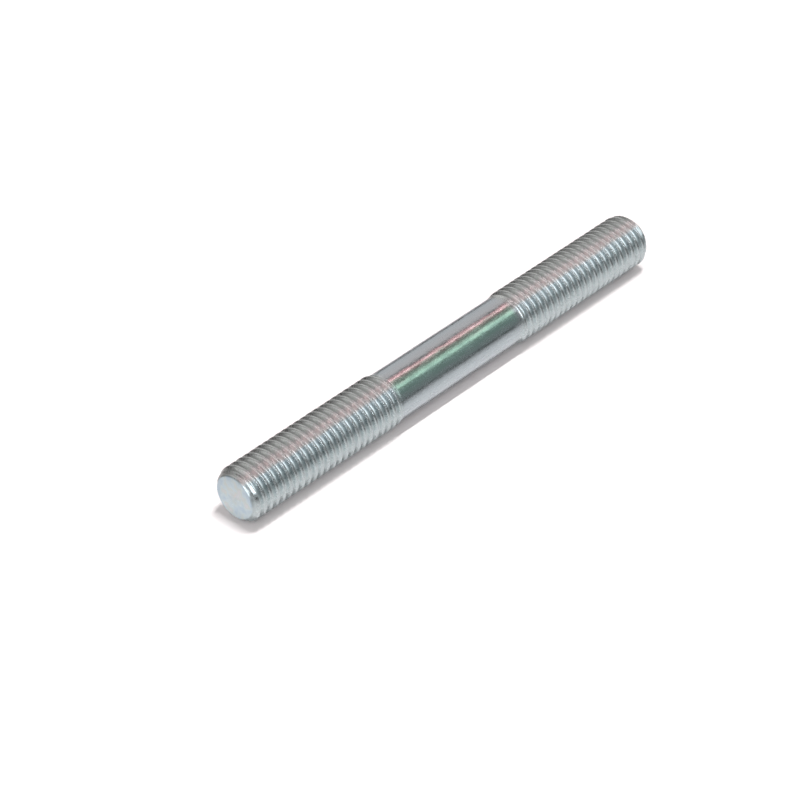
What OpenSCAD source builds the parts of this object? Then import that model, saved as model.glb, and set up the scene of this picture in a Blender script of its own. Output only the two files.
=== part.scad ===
// Double-ended stud: a steel rod with a metric coarse thread rolled on both ends
// and a plain shank, rolled down to about the pitch diameter, between them.
// It lies along X on the plane Z = 0, with its longer thread towards -X.

/* [Stud] */
// Overall length, from end face to end face
stud_length = 120; // [100:1:240]
// Diameter of the plain shank between the threads
shank_d = 10.9; // [10:0.05:11.8]

/* [Threads] */
// Nominal diameter of both threads
thread_d = 12; // [11.6:0.1:14]
// Distance from one crest to the next
pitch = 1.75; // [1.5:0.25:2.5]
// How far the crests lie below the nominal radius
crest_relief = 0.1; // [0:0.02:0.2]
// Length of the longer thread, from the end face to the last of its run-out
long_thread_length = 43; // [20:1:48]
// Length of the shorter thread, from the end face to the last of its run-out
short_thread_length = 42; // [20:1:48]
// Length over which each thread runs out into the shank
runout_length = 1.5; // [1:0.25:6]

/* [Ends] */
// Diameter of the flat end faces
end_face_d = 9.3; // [7:0.1:9.6]
// Length of the chamfer from the end face to the crests
chamfer_length = 1.7; // [0.8:0.1:3]

/* [Hidden] */
$fn = 96;

// Facets around each turn of thread, a multiple of four so that one lies on the floor
turn_facets = 24;
facet_angle = 360 / turn_facets;
// Radius of a facet's corners, where the middle of the facet lies at radius 1
corner = 1 / cos(facet_angle / 2);

// Metric profile: 60 degree flanks, crests an eighth of the pitch wide at the nominal radius
flank_angle = 30;
thread_depth = 0.61343 * pitch;
crest_r = thread_d / 2 - crest_relief;
root_r = thread_d / 2 - thread_depth;
crest_half = pitch / 16 + crest_relief * tan(flank_angle);
root_half = pitch / 16 + thread_depth * tan(flank_angle);

// Where a thread has run out, crest and root meet at faded_r, just inside the shank's skin
skin = 0.04;
faded_r = shank_d / 2 - skin;
faded_crest_half = pitch / 4;
faded_root_half = faded_crest_half + pitch / 50;

// Each thread starts beyond its end face and ends inside the shank
lead_in = 1.1 * pitch;
lead_out = 1.25 * pitch;
// Clearance that keeps the turned envelope off the crests
envelope_gap = 1;

function mix(a, b, share) = a + (b - a) * share;

// Share of the full profile that is left at height z of a thread: 0 once it has run out
function profile_left(z, length) =
    max(0, min(1, (length - faded_root_half - z) / runout_length));

// The ridge cut by a half-plane through the axis: root, crest, crest, root, going up
function ridge_section(index, length) =
    let (
        angle = (index + 0.5) * facet_angle,
        z = index * pitch / turn_facets - lead_in,
        left = profile_left(z, length),
        root = mix(faded_r, root_r * corner, left),
        crest = mix(faded_r, crest_r * corner, left),
        at_root = mix(faded_root_half, root_half, left),
        at_crest = mix(faded_crest_half, crest_half, left)
    )
    [for (p = [[root, -at_root], [crest, -at_crest], [crest, at_crest], [root, at_root]])
        [p[0] * cos(angle), p[0] * sin(angle), z + p[1]]];

// Two triangles across the corners lower left, upper left, upper right and lower right
function quad(ll, ul, ur, lr) = [[ll, ul, ur], [ll, ur, lr]];

// Right-hand thread with its core, one closed skin wound along the helix from Z = 0 up.
// Section i holds points 4i to 4i + 3, and the groove above it ends at the next turn.
module thread_blank(length) {
    last = ceil((lead_in + length + lead_out) * turn_facets / pitch);
    sections = [for (i = [0:last]) each ridge_section(i, length)];
    foot = len(sections);
    tip = foot + 1;
    foot_z = sections[0][2];
    tip_z = sections[foot - 1][2];

    ridge = [for (i = [0:last - 1], j = [0:2])
        each quad(4 * i + j, 4 * i + j + 1, 4 * i + j + 5, 4 * i + j + 4)];
    groove = [for (i = [0:last - turn_facets - 1])
        each quad(4 * i + 3, 4 * (i + turn_facets), 4 * (i + turn_facets + 1), 4 * i + 7)];

    // Each end is closed by a ramp around the axis and a wall in the section where it starts
    foot_rim = concat([for (i = [0:turn_facets]) 4 * i], [3, 2, 1, 0]);
    first_top = last - turn_facets;
    tip_rim = concat([for (i = [last:-1:first_top]) 4 * i + 3], [for (j = [0:3]) 4 * last + j]);
    foot_cap = [for (i = [0:len(foot_rim) - 2]) [foot, foot_rim[i], foot_rim[i + 1]]];
    tip_cap = [for (i = [0:len(tip_rim) - 2]) [tip, tip_rim[i], tip_rim[i + 1]]];

    polyhedron(
        points = concat(sections, [[0, 0, foot_z], [0, 0, tip_z]]),
        faces = concat(ridge, groove, foot_cap, tip_cap),
        convexity = 10
    );
}

// Turned outline of a threaded end: flat face at Z = 0, then the chamfer, clear of the crests
module end_envelope(length) {
    face_r = end_face_d / 2;
    clear_r = crest_r + envelope_gap;
    clear_z = chamfer_length * (clear_r - face_r) / (crest_r - face_r);
    top_z = length + 2 * lead_out;
    rotate_extrude()
        polygon([[0, 0], [face_r, 0], [clear_r, clear_z], [clear_r, top_z], [0, top_z]]);
}

// One threaded end, standing on its end face
module threaded_end(length) {
    intersection() {
        thread_blank(length);
        end_envelope(length);
    }
}

module stud() {
    color("silver")
    translate([-stud_length / 2, 0, crest_r])
    rotate([0, 90, 0])
    union() {
        threaded_end(long_thread_length);
        translate([0, 0, stud_length])
            rotate([180, 0, 0])
                threaded_end(short_thread_length);
        translate([0, 0, long_thread_length])
            cylinder(d = shank_d, h = stud_length - long_thread_length - short_thread_length);
    }
}

stud();
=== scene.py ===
"""A zinc-plated double-ended stud: rolled threads, plain shank, dished ends, on a pale floor.

Sizes are in millimetres, apart from the lamps', which are in metres. The stud lies along X on
Z = 0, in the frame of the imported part.
"""

import math

import bmesh
import bpy
from mathutils import Matrix, Vector


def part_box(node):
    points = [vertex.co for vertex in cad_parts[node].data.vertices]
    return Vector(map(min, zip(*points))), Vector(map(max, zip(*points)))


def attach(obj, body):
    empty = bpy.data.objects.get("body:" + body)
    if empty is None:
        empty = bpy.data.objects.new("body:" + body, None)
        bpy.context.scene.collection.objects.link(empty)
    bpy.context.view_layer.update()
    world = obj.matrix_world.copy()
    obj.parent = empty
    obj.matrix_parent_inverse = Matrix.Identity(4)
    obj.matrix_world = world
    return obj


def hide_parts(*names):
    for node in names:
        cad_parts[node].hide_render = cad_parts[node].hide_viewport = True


MM = 0.001

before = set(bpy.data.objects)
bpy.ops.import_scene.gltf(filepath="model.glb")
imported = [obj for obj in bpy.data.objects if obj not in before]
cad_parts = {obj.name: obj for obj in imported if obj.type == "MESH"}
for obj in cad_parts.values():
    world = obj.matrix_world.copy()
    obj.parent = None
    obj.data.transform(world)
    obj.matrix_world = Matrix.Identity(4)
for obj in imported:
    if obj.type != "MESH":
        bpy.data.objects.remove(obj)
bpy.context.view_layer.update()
low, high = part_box("stud")

# ---------------------------------------------------------------- sizes, in millimetres

LENGTH = (high[0] - low[0]) / MM
CREST_R = (high[2] - low[2]) / 2 / MM
AXIS_Z = CREST_R

PITCH = 1.75
NOMINAL_R = 6.0
THREAD_DEPTH = 0.61343 * PITCH
ROOT_R = NOMINAL_R - THREAD_DEPTH
FLANK_SLOPE = 1 / math.tan(math.radians(30))
CREST_HALF = PITCH / 16   # half the crest's width where the flanks reach the nominal radius
THREAD_START = 0.379      # share of a pitch from the end face to the first crest, straight above
LONG_THREAD = 43.0
SHORT_THREAD = 42.0
RUNOUT = 1.5
RUNOUT_GAP = 0.27 * PITCH  # the run-out has ended this far before the plain shank begins
SHANK_R = 5.45

# How sharply two surfaces of the thread meet: the height over which the corner is rounded
CREST_ROUND = 0.18
ROOT_ROUND = 0.45
CHAMFER_ROUND = 0.12

SEAM_DEPTH = 0.10         # rolling folds a fine seam into the top of each crest
SEAM_HALF = 0.11

FACE_R = 4.65
CHAMFER = 1.7
CREASE_X = 0.48           # rolling leaves a crease round the chamfer, and a low lip beyond it
CREASE_HALF = 0.075
CREASE_DEPTH = 0.13
LIP = 0.12
LIP_RISE = 0.2            # the lip reaches its height this far beyond the crease

RIM_X = 0.02              # the chamfer starts this far from the plane of the end face
FLAT_RADII = [4.62, 4.5, 4.2, 3.9, 3.4]  # rings of the flat round the dish
DISH_R = 2.9              # the middle of the end face is a little hollow from the cutting
DISH_DEPTH = 0.16
DISH_STEP = 0.2

# The waves by which rolled steel is never quite round or straight: height, lobes round the
# stud, radians for each millimetre along it, and the angle at which they start
WAVES = [(0.008, 3, 0.9, 0.0), (0.006, 7, -2.3, 1.0), (0.005, 11, 3.7, 2.0)]
SHANK_WAVE = 0.3          # the drawn shank is truer: lower waves, longer along the stud
SHANK_WAVE_ALONG = 0.4

TURN_STEPS = 72
STEP = math.tau / TURN_STEPS
SHANK_RINGS = 40
# Places across the thread, as shares of the pitch: from the middle of a crest down into the
# groove, and then a whole pitch of them, from the middle of one groove to the next
HALF_PROFILE = [0.0, 0.027, 0.055, 0.085, 0.115, 0.15, 0.21, 0.28, 0.345, 0.395, 0.435, 0.47]
PROFILE = sorted([-0.5] + [-share for share in HALF_PROFILE[1:]] + HALF_PROFILE)
MIN_GAP = 0.01            # a place nearer than this to an end's rim or neck joins it
WELD = 1e-7               # in metres: points nearer than this are one
EDGE_ANGLE = math.radians(50)  # faces that meet at more than this keep a hard edge


# ---------------------------------------------------------------- the turned and rolled form

def soft_min(a, b, blend):
    """The lower of two heights, with the corner between them rounded off."""
    near = max(blend - abs(a - b), 0.0) / blend
    return min(a, b) - near * near * blend / 4


def soft_max(a, b, blend):
    """The higher of two heights, with the corner between them filled in."""
    return -soft_min(-a, -b, blend)


def share_of(value, whole):
    """How much of the whole the value has reached, from 0 to 1."""
    return min(1.0, max(0.0, value / whole))


def unevenness(angle, x):
    return sum(height * math.sin(lobes * angle + along * x + start)
               for height, lobes, along, start in WAVES)


def thread_radius(angle, x, length):
    """Radius of a threaded end at a distance x from its end face."""
    from_crest = (x / PITCH - THREAD_START - angle / math.tau + 0.5) % 1.0 - 0.5
    across = abs(from_crest) * PITCH
    flank = NOMINAL_R - FLANK_SLOPE * (across - CREST_HALF)
    r = soft_max(flank, ROOT_R, ROOT_ROUND)
    r = soft_min(r, CREST_R, CREST_ROUND)
    r -= SEAM_DEPTH * math.exp(-(across / SEAM_HALF) ** 2)

    # In the run-out the thread fades into the shank, with a slightly eased start and end
    formed = share_of(length - RUNOUT_GAP - x, RUNOUT)
    formed = (formed + formed * formed * (3 - 2 * formed)) / 2
    r = SHANK_R + (r - SHANK_R) * formed

    lip = LIP * share_of(x - CREASE_X, LIP_RISE)
    crease = CREASE_DEPTH * math.exp(-((x - CREASE_X) / CREASE_HALF) ** 2)
    chamfer = FACE_R + (CREST_R - FACE_R) * x / CHAMFER + lip - crease
    r = soft_min(r, chamfer, CHAMFER_ROUND)
    return min(r + unevenness(angle, x) * formed, CREST_R)


def face_depth(r):
    """How far the end face lies inside its rim at radius r."""
    dish = 0.5 + 0.5 * math.cos(math.pi * min(r / DISH_R, 1.0))
    return DISH_DEPTH * dish


class Skin:
    """Points and faces of one closed mesh, in millimetres, with the stud's axis along X."""

    def __init__(self):
        self.points = []
        self.faces = []

    def point(self, x, r, angle):
        self.points.append((x, r * math.sin(angle), r * math.cos(angle)))
        return len(self.points) - 1

    def face(self, *corners):
        """Adds a face, with corners that have run together taken as one."""
        kept = [c for i, c in enumerate(corners) if c != corners[i - 1]]
        if len(set(kept)) >= 3:
            self.faces.append(kept)

    def bridge(self, ring_a, ring_b):
        """A band of faces between two rings."""
        for i in range(TURN_STEPS):
            j = (i + 1) % TURN_STEPS
            self.face(ring_a[i], ring_a[j], ring_b[j], ring_b[i])


def threaded_end(skin, length, place):
    """A threaded end wound along its helix. place turns (x, r, angle) of the end into the stud's.

    Returns the ring at the rim of the end face and the ring where the shank begins."""
    turns = math.ceil((length + 2 * PITCH) / PITCH)

    def make(x, r, angle):
        return skin.point(*place(x, r, angle))

    rim = [make(RIM_X, thread_radius(i * STEP, RIM_X, length), i * STEP)
           for i in range(TURN_STEPS)]
    neck = [make(length, SHANK_R, i * STEP) for i in range(TURN_STEPS)]
    columns = []
    for i in range(TURN_STEPS):
        angle = i * STEP
        column = []
        for turn in range(-2, turns):
            for share in PROFILE:
                x = (turn + share + THREAD_START + i / TURN_STEPS) * PITCH
                if x <= RIM_X + MIN_GAP:
                    column.append(rim[i])
                elif x >= length - MIN_GAP:
                    column.append(neck[i])
                else:
                    column.append(make(x, thread_radius(angle, x, length), angle))
        columns.append(column)

    # After a whole turn the helix has moved on by a pitch, so the last column meets the first
    # one pitch further along
    columns.append(columns[0][len(PROFILE):])
    for here, there in zip(columns, columns[1:]):
        for k in range(min(len(here), len(there)) - 1):
            skin.face(here[k], there[k], there[k + 1], here[k + 1])
    return rim, neck


def end_face(skin, rim, place):
    """Closes an end: the flat inside the rim and the shallow dish in the middle."""
    ring = rim
    dish_rings = math.floor(DISH_R / DISH_STEP)
    for r in FLAT_RADII + [DISH_R - DISH_STEP * k for k in range(dish_rings)]:
        inner = [skin.point(*place(face_depth(r), r, i * STEP)) for i in range(TURN_STEPS)]
        skin.bridge(inner, ring)
        ring = inner
    middle = skin.point(*place(face_depth(0.0), 0.0, 0.0))
    for i in range(TURN_STEPS):
        skin.face(middle, ring[(i + 1) % TURN_STEPS], ring[i])


def plain_shank(skin, long_neck, short_neck):
    """The plain middle of the stud, between the necks of its two threaded ends."""
    start = LONG_THREAD - LENGTH / 2
    span = LENGTH - LONG_THREAD - SHORT_THREAD
    angles = [-i * STEP for i in range(TURN_STEPS)]
    ring = long_neck
    for k in range(1, SHANK_RINGS):
        x = start + span * k / SHANK_RINGS
        inner = [skin.point(x, SHANK_R + SHANK_WAVE * unevenness(a, SHANK_WAVE_ALONG * x), a)
                 for a in angles]
        skin.bridge(ring, inner)
        ring = inner
    # The short end is seen from its own face, so its ring runs the other way round
    turned_neck = [short_neck[-i % TURN_STEPS] for i in range(TURN_STEPS)]
    skin.bridge(ring, turned_neck)


def build_stud():
    skin = Skin()

    def from_long_end(x, r, angle):
        return x - LENGTH / 2, r, -angle

    def from_short_end(x, r, angle):
        return LENGTH / 2 - x, r, angle

    necks = []
    for length, place in ((LONG_THREAD, from_long_end), (SHORT_THREAD, from_short_end)):
        rim, neck = threaded_end(skin, length, place)
        end_face(skin, rim, place)
        necks.append(neck)
    plain_shank(skin, *necks)

    mesh = bpy.data.meshes.new("stud_skin")
    mesh.from_pydata([(x * MM, y * MM, (z + AXIS_Z) * MM) for x, y, z in skin.points],
                     [], skin.faces)
    mesh.validate()
    stud = bpy.data.objects.new("stud_body", mesh)
    bpy.context.collection.objects.link(stud)
    return stud


def tidy_mesh(mesh):
    """Turns every face outwards and shades the skin smooth, with its real edges kept."""
    bm = bmesh.new()
    bm.from_mesh(mesh)
    bmesh.ops.remove_doubles(bm, verts=bm.verts, dist=WELD)
    bmesh.ops.recalc_face_normals(bm, faces=bm.faces)
    bm.to_mesh(mesh)
    bm.free()
    mesh.shade_smooth()
    mesh.set_sharp_from_angle(angle=EDGE_ANGLE)


# ---------------------------------------------------------------- materials

def linear(hex_colour):
    """An sRGB hex colour as the linear values that the shaders take."""
    channels = [int(hex_colour[i:i + 2], 16) / 255 for i in (1, 3, 5)]
    return [c / 12.92 if c <= 0.04045 else ((c + 0.055) / 1.055) ** 2.4 for c in channels] + [1.0]


def add_node(tree, kind, settings=(), links=(), stops=()):
    """Adds a node. settings name its properties and sockets, links join its input sockets, and
    stops are the places and colours of a ramp."""
    node = tree.nodes.new(kind)
    for name, value in dict(settings).items():
        if isinstance(name, str) and hasattr(node, name):
            setattr(node, name, value)
        else:
            node.inputs[name].default_value = value
    for name, source in dict(links).items():
        tree.links.new(source, node.inputs[name])
    if stops:
        elements = node.color_ramp.elements
        while len(elements) < len(stops):
            elements.new(0.5)
        for element, (position, colour) in zip(elements, stops):
            element.position = position
            element.color = linear(colour)
    return node


# The base colour round the stud, by share of a turn: the blue passivate's own grey-blue, with
# painted reflections over it. These are pink and green bands on the shank, and a lighter pink
# painted highlight on the threads, laid where the highlights fall on the resting stud. 0.5 is
# straight up, and the share grows towards -Y and down, so pink and green lie on the -Y side of
# the top.
SHANK_FILM = [
    (0.00, "#D8E0E3"), (0.25, "#DCDEE4"), (0.43, "#D6DFE5"), (0.522, "#E0DFE2"),
    (0.542, "#FBD0D4"), (0.556, "#E6D1CD"), (0.574, "#CAE2D3"), (0.60, "#C0EAD7"),
    (0.635, "#BFE5DD"), (0.67, "#CADFE0"), (0.70, "#CDDADF"), (0.85, "#D1DADE"),
]
# The threads' ramp: little colour, with a lighter pink painted highlight where their highlights
# fall
THREAD_FILM = [
    (0.00, "#D8E0E3"), (0.30, "#DEE0DF"), (0.50, "#DEE0DE"), (0.523, "#E2DEDE"),
    (0.545, "#EADEDE"), (0.569, "#E9E1E1"), (0.580, "#E2DFDF"), (0.597, "#D5E0E5"),
    (0.70, "#D3E0E2"), (0.85, "#D6E0E2"),
]
# On the end faces the colour follows a cloudy noise instead, by its value
FACE_FILM = [(0.36, "#CFE1EC"), (0.50, "#DBEAEF"), (0.58, "#DCE6E4"), (0.66, "#E3E7EA")]

THREAD_FILM_FROM = 17.2   # distance from the stud's middle at which the threads' colour, with its painted highlight, sets in
THREAD_FILM_FULL = 18.6
FACE_FILM_FROM = 0.25     # depth under the end face at which the face's film sets in
FACE_FILM_FULL = 0.05

DRIFT_SIZE = 6.0          # the painted bands of colour wander unevenly, in patches of this size
DRIFT = 0.03              # by which they wander, as a share of a turn
RUN_SIZE = 0.55           # the plate dries in fine runs along the drawn shank, this far apart
RUN_STRETCH = 0.16        # their width as a share of their length
RUN_DRIFT = 0.04
CLOUD_SIZE = 2.6          # patches of the film on an end face, which dries flat
CRYSTAL_SIZE = 0.3        # real ones are a few hundredths: drawn coarser, so that they show
CRYSTAL_BUMP = 0.005
PICKLED_SIZE = 1.1        # the acid that cleans the steel leaves it uneven at this size
PICKLED_BUMP = 0.03

NOISE_LOW = 0.35          # most of a noise's values lie between these
NOISE_HIGH = 0.65
RUN_SHARE = 0.6           # of the grain in the plate. The rest is crystals.
BRIGHT_ROUGH = 0.13       # roughness where the grain is brightest and where it is dullest
DULL_ROUGH = 0.34
CREST_ROUGHER = -0.04     # the rolls burnish the crests, and plate lies duller in the grooves
GROOVE_ROUGHER = 0.14


def bright_zinc_plate():
    """Zinc electroplated on steel, with a thin blue passivate: a cool, bright, slightly grainy
    metal. On the smooth shank the base colour runs from blue-grey through pink to green round the
    stud. These are painted reflections, laid where the highlights fall on the resting stud. The
    threads keep little of that colour, only a lighter pink painted highlight. The end faces take
    cloudy patches of the film instead."""
    material = bpy.data.materials.new("zinc_plate_blue_passivated")
    material.use_nodes = True
    tree = material.node_tree
    tree.nodes.clear()

    # Where a point is: height over the axis, distance to the side, and share of a turn
    place = add_node(tree, "ShaderNodeTexCoord").outputs["Object"]
    parts = add_node(tree, "ShaderNodeSeparateXYZ", links={0: place})
    up = add_node(tree, "ShaderNodeMath", {"operation": "SUBTRACT", 1: AXIS_Z * MM},
                  {0: parts.outputs["Z"]}).outputs[0]
    side = add_node(tree, "ShaderNodeMath", {"operation": "MULTIPLY", 1: -1.0},
                    {0: parts.outputs["Y"]}).outputs[0]
    angle = add_node(tree, "ShaderNodeMath", {"operation": "ARCTAN2"}, {0: side, 1: up}).outputs[0]
    turn = add_node(tree, "ShaderNodeMapRange", {"From Min": -math.pi, "From Max": math.pi},
                    {"Value": angle}).outputs[0]
    along = add_node(tree, "ShaderNodeMath", {"operation": "ABSOLUTE"},
                     {0: parts.outputs["X"]}).outputs[0]
    threaded = add_node(tree, "ShaderNodeMapRange",
                        {"From Min": THREAD_FILM_FROM * MM, "From Max": THREAD_FILM_FULL * MM},
                        {"Value": along}).outputs[0]
    faced = add_node(tree, "ShaderNodeMapRange",
                     {"From Min": (LENGTH / 2 - FACE_FILM_FROM) * MM,
                      "From Max": (LENGTH / 2 - FACE_FILM_FULL) * MM},
                     {"Value": along}).outputs[0]

    # The colour: painted reflection bands round the stud, and the film's clouds on the end faces
    drift = add_node(tree, "ShaderNodeTexNoise", {"Scale": 1 / (DRIFT_SIZE * MM), "Detail": 3.0},
                     {"Vector": place}).outputs["Fac"]
    stretched = add_node(tree, "ShaderNodeMapping", {"Scale": (RUN_STRETCH, 1.0, 1.0)},
                         {"Vector": place}).outputs["Vector"]
    runs = add_node(tree, "ShaderNodeTexNoise", {"Scale": 1 / (RUN_SIZE * MM), "Detail": 3.0},
                    {"Vector": stretched}).outputs["Fac"]
    clouds = add_node(tree, "ShaderNodeTexNoise", {"Scale": 1 / (CLOUD_SIZE * MM), "Detail": 2.0},
                      {"Vector": place}).outputs["Fac"]
    wander = add_node(tree, "ShaderNodeMath",
                      {"operation": "MULTIPLY_ADD", 1: DRIFT, 2: -DRIFT / 2},
                      {0: drift}).outputs[0]
    fine_wander = add_node(tree, "ShaderNodeMath",
                           {"operation": "MULTIPLY_ADD", 1: RUN_DRIFT, 2: -RUN_DRIFT / 2},
                           {0: runs}).outputs[0]
    film = add_node(tree, "ShaderNodeMath", {"operation": "ADD"}, {0: turn, 1: wander}).outputs[0]
    shank_film = add_node(tree, "ShaderNodeMath", {"operation": "ADD"},
                          {0: film, 1: fine_wander}).outputs[0]
    # The ramps lay painted reflections round the stud: pink and green on the shank, lighter pink
    # on the threads
    on_shank = add_node(tree, "ShaderNodeValToRGB", links={"Fac": shank_film},
                        stops=SHANK_FILM).outputs["Color"]
    on_thread = add_node(tree, "ShaderNodeValToRGB", links={"Fac": film},
                         stops=THREAD_FILM).outputs["Color"]
    on_face = add_node(tree, "ShaderNodeValToRGB", links={"Fac": clouds},
                       stops=FACE_FILM).outputs["Color"]
    tint = add_node(tree, "ShaderNodeMix", {"data_type": "RGBA"},
                    {0: threaded, 6: on_shank, 7: on_thread}).outputs[2]
    base = add_node(tree, "ShaderNodeMix", {"data_type": "RGBA"},
                    {0: faced, 6: tint, 7: on_face}).outputs[2]

    # Crystals of the plate, the runs over them, and the pickled steel underneath
    crystals = add_node(tree, "ShaderNodeTexNoise",
                        {"Scale": 1 / (CRYSTAL_SIZE * MM), "Detail": 4.0},
                        {"Vector": place}).outputs["Fac"]
    pickled = add_node(tree, "ShaderNodeTexNoise",
                       {"Scale": 1 / (PICKLED_SIZE * MM), "Detail": 3.0},
                       {"Vector": place}).outputs["Fac"]
    grain = add_node(tree, "ShaderNodeMix", {"data_type": "FLOAT", 0: RUN_SHARE},
                     {2: crystals, 3: runs}).outputs[0]
    satin = add_node(tree, "ShaderNodeMapRange",
                     {"From Min": NOISE_LOW, "From Max": NOISE_HIGH,
                      "To Min": BRIGHT_ROUGH, "To Max": DULL_ROUGH},
                     {"Value": grain}).outputs[0]

    # How deep in the groove a point lies
    offset = add_node(tree, "ShaderNodeCombineXYZ", links={0: up, 1: side}).outputs[0]
    radius = add_node(tree, "ShaderNodeVectorMath", {"operation": "LENGTH"},
                      {0: offset}).outputs["Value"]
    depth = add_node(tree, "ShaderNodeMapRange",
                     {"From Min": CREST_R * MM, "From Max": ROOT_R * MM,
                      "To Min": CREST_ROUGHER, "To Max": GROOVE_ROUGHER},
                     {"Value": radius}).outputs[0]
    dull = add_node(tree, "ShaderNodeMath", {"operation": "MULTIPLY"},
                    {0: depth, 1: threaded}).outputs[0]
    rough = add_node(tree, "ShaderNodeMath", {"operation": "ADD"}, {0: satin, 1: dull}).outputs[0]

    fine = add_node(tree, "ShaderNodeBump", {"Strength": 1.0, "Distance": CRYSTAL_BUMP * MM},
                    {"Height": grain}).outputs["Normal"]
    bump = add_node(tree, "ShaderNodeBump", {"Strength": 1.0, "Distance": PICKLED_BUMP * MM},
                    {"Height": pickled, "Normal": fine}).outputs["Normal"]
    shader = add_node(tree, "ShaderNodeBsdfPrincipled", {"Metallic": 1.0},
                      {"Base Color": base, "Roughness": rough, "Normal": bump})
    add_node(tree, "ShaderNodeOutputMaterial", links={"Surface": shader.outputs[0]})
    return material


BOARD_TINT = "#FFF9F9"
BOARD_ALBEDO = 0.72       # the share of light that the board returns
BOARD_SEEN = 1.06         # its level to the camera, which reads as full white where it is lit
BOARD_MIRRORED = 0.77     # its level in the metal, close beside the stud
BOARD_FADE = 34.0         # distance from the stud at which the painted falloff of light has halved that level


def pale_board():
    """Matt painted board: an even white with no sheen, on which the shadow shows. It is lifted
    to full white for the camera only. In the metal it is painted darker with distance from the
    stud, a painted falloff of light, and it sheds no more light on the stud than a white board
    does."""
    material = bpy.data.materials.new("matt_painted_board")
    material.use_nodes = True
    tree = material.node_tree
    tree.nodes.clear()

    # Distance over the floor from the stud's axis, or from the end of it
    path = add_node(tree, "ShaderNodeLightPath")
    place = add_node(tree, "ShaderNodeTexCoord").outputs["Object"]
    parts = add_node(tree, "ShaderNodeSeparateXYZ", links={0: place})
    along = add_node(tree, "ShaderNodeMath", {"operation": "ABSOLUTE"},
                     {0: parts.outputs["X"]}).outputs[0]
    beyond = add_node(tree, "ShaderNodeMath", {"operation": "SUBTRACT", 1: LENGTH / 2 * MM},
                      {0: along}).outputs[0]
    past_end = add_node(tree, "ShaderNodeMath", {"operation": "MAXIMUM", 1: 0.0},
                        {0: beyond}).outputs[0]
    away = add_node(tree, "ShaderNodeCombineXYZ",
                    links={0: past_end, 1: parts.outputs["Y"]}).outputs[0]
    distance = add_node(tree, "ShaderNodeVectorMath", {"operation": "LENGTH"},
                        {0: away}).outputs["Value"]

    # The mirrored level, with a painted falloff of light: BOARD_MIRRORED / (1 + (distance / the
    # falloff distance) squared)
    share = add_node(tree, "ShaderNodeMath", {"operation": "DIVIDE", 1: BOARD_FADE * MM},
                     {0: distance}).outputs[0]
    fall = add_node(tree, "ShaderNodeMath", {"operation": "MULTIPLY_ADD", 2: 1.0},
                    {0: share, 1: share}).outputs[0]
    mirrored = add_node(tree, "ShaderNodeMath", {"operation": "DIVIDE", 0: BOARD_MIRRORED},
                        {1: fall}).outputs[0]
    in_metal = add_node(tree, "ShaderNodeMix", {"data_type": "FLOAT", 2: BOARD_ALBEDO},
                        {0: path.outputs["Is Glossy Ray"], 3: mirrored}).outputs[0]
    level = add_node(tree, "ShaderNodeMix", {"data_type": "FLOAT", 3: BOARD_SEEN},
                     {0: path.outputs["Is Camera Ray"], 2: in_metal}).outputs[0]

    colour = add_node(tree, "ShaderNodeVectorMath",
                      {"operation": "SCALE", 0: linear(BOARD_TINT)[:3]},
                      {"Scale": level}).outputs[0]
    shader = add_node(tree, "ShaderNodeBsdfDiffuse", links={"Color": colour})
    add_node(tree, "ShaderNodeOutputMaterial", links={"Surface": shader.outputs[0]})
    return material


# ---------------------------------------------------------------- camera, floor and lights

# Where the camera stands, what it looks at, and its lens
CAMERA = Vector((-370.31, -325.24, 368.78)) * MM
AIM = Vector((-15.76, -2.54, 5.9)) * MM
LENS = 135.888
FLOOR_HALF = 1500.0

ROOM_SEEN = 1.0           # the room's level to the camera
ROOM_MIRRORED = 0.20      # its level in the metal
ROOM_LIGHT = 0.15         # and its level as light on the board

# Soft boxes round the stud: name, degrees towards +X, degrees round the stud from straight up
# towards -Y, distance, size along X and across in metres, and radiance
SOFT_BOXES = [
    ("far_panel", 36, -62, 1.2, (1.6, 1.25), 0.34),
    ("back_panel", -6, -36, 1.2, (0.7, 1.0), 0.39),
    ("key_strip", 36, -7, 1.1, (1.5, 0.10), 1.27),
    ("fill_panel", 50, 30, 1.1, (0.85, 0.28), 0.68),
    ("front_panel", 4, 28, 1.2, (0.36, 1.9), 0.94),
    ("side_panel", -70, -50, 1.3, (1.0, 1.6), 0.39),
    ("near_panel", -80, 30, 1.3, (0.5, 1.4), 0.25),
    ("flash_panel", -35, 44, 1.2, (0.14, 1.0), 8.6),
    ("thread_strip", 20, 9, 1.2, (0.35, 0.14), 0.41),
]
# The lamp that draws the shadow. It is long enough along X to blur a whole pitch, so the
# thread's teeth don't show in the shadow's edge. It isn't reflected in the metal.
SHADOW_LAMP = ("key_lamp", 5, 4, 1.2, (0.36, 0.07), 110.6)


def place_camera():
    data = bpy.data.cameras.new("camera")
    data.lens = LENS
    data.sensor_width = 36.0
    data.clip_start = 0.01
    camera = bpy.data.objects.new("camera", data)
    camera.location = CAMERA
    camera.rotation_euler = (AIM - CAMERA).to_track_quat("-Z", "Y").to_euler()
    bpy.context.collection.objects.link(camera)
    bpy.context.scene.camera = camera


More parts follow.
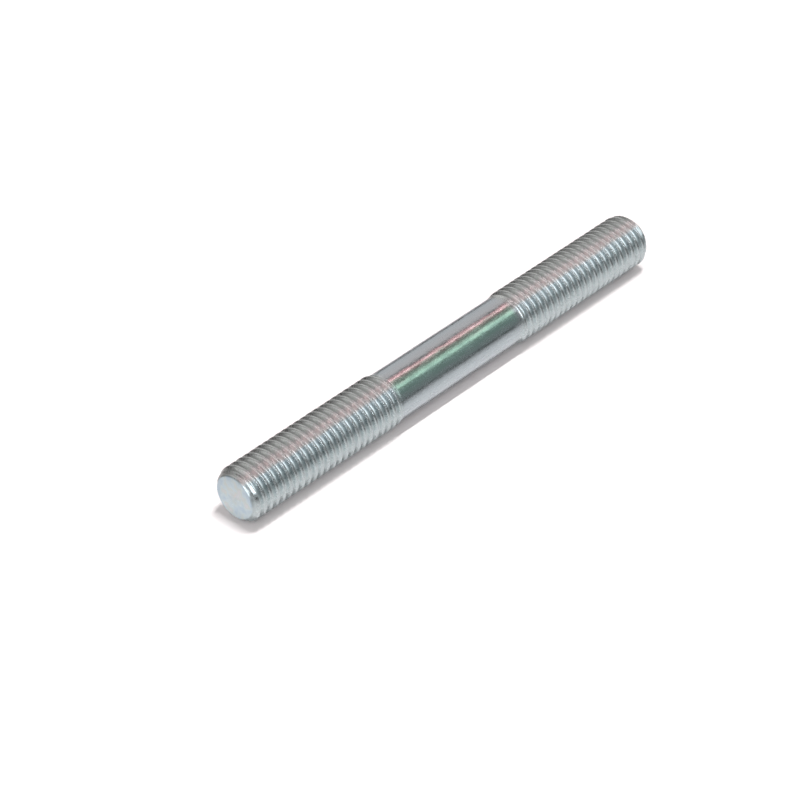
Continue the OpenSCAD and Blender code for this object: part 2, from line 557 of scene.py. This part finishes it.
def lay_floor():
    half = FLOOR_HALF * MM
    mesh = bpy.data.meshes.new("floor")
    mesh.from_pydata([(-half, -half, 0), (half, -half, 0), (half, half, 0), (-half, half, 0)],
                     [], [(0, 1, 2, 3)])
    floor = bpy.data.objects.new("floor", mesh)
    bpy.context.collection.objects.link(floor)
    mesh.materials.append(pale_board())


def soft_box(name, towards_x, lean, distance, size, radiance):
    """A rectangular lamp that faces the stud, with its first side along the stud."""
    a = math.radians(towards_x)
    b = math.radians(lean)
    back = Vector((math.sin(a), -math.cos(a) * math.sin(b), math.cos(a) * math.cos(b)))
    across = Vector((0, -math.cos(b), -math.sin(b)))
    along = across.cross(back).normalized()
    data = bpy.data.lights.new(name, "AREA")
    data.shape = "RECTANGLE"
    data.size, data.size_y = size
    data.energy = radiance * math.pi * size[0] * size[1]
    lamp = bpy.data.objects.new(name, data)
    lamp.matrix_world = (Matrix.Translation(back * distance)
                         @ Matrix((along, across, back)).transposed().to_4x4())
    lamp.visible_camera = False
    bpy.context.collection.objects.link(lamp)
    return lamp


def light_room():
    world = bpy.data.worlds.new("studio")
    bpy.context.scene.world = world
    world.use_nodes = True
    tree = world.node_tree
    tree.nodes.clear()
    path = add_node(tree, "ShaderNodeLightPath")
    room = add_node(tree, "ShaderNodeMix", {"data_type": "FLOAT", 2: ROOM_LIGHT, 3: ROOM_MIRRORED},
                    {0: path.outputs["Is Glossy Ray"]}).outputs[0]
    level = add_node(tree, "ShaderNodeMix", {"data_type": "FLOAT", 3: ROOM_SEEN},
                     {0: path.outputs["Is Camera Ray"], 2: room}).outputs[0]
    shader = add_node(tree, "ShaderNodeBackground", {"Color": (1, 1, 1, 1)}, {"Strength": level})
    add_node(tree, "ShaderNodeOutputWorld", links={"Surface": shader.outputs[0]})

    for box in SOFT_BOXES:
        soft_box(*box)
    shadow_lamp = soft_box(*SHADOW_LAMP)
    shadow_lamp.visible_glossy = False


# ---------------------------------------------------------------- build

bpy.context.scene.view_settings.view_transform = "Standard"

stud = build_stud()
tidy_mesh(stud.data)
stud.data.materials.append(bright_zinc_plate())
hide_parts("stud")
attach(stud, "root")

place_camera()
lay_floor()
light_room()
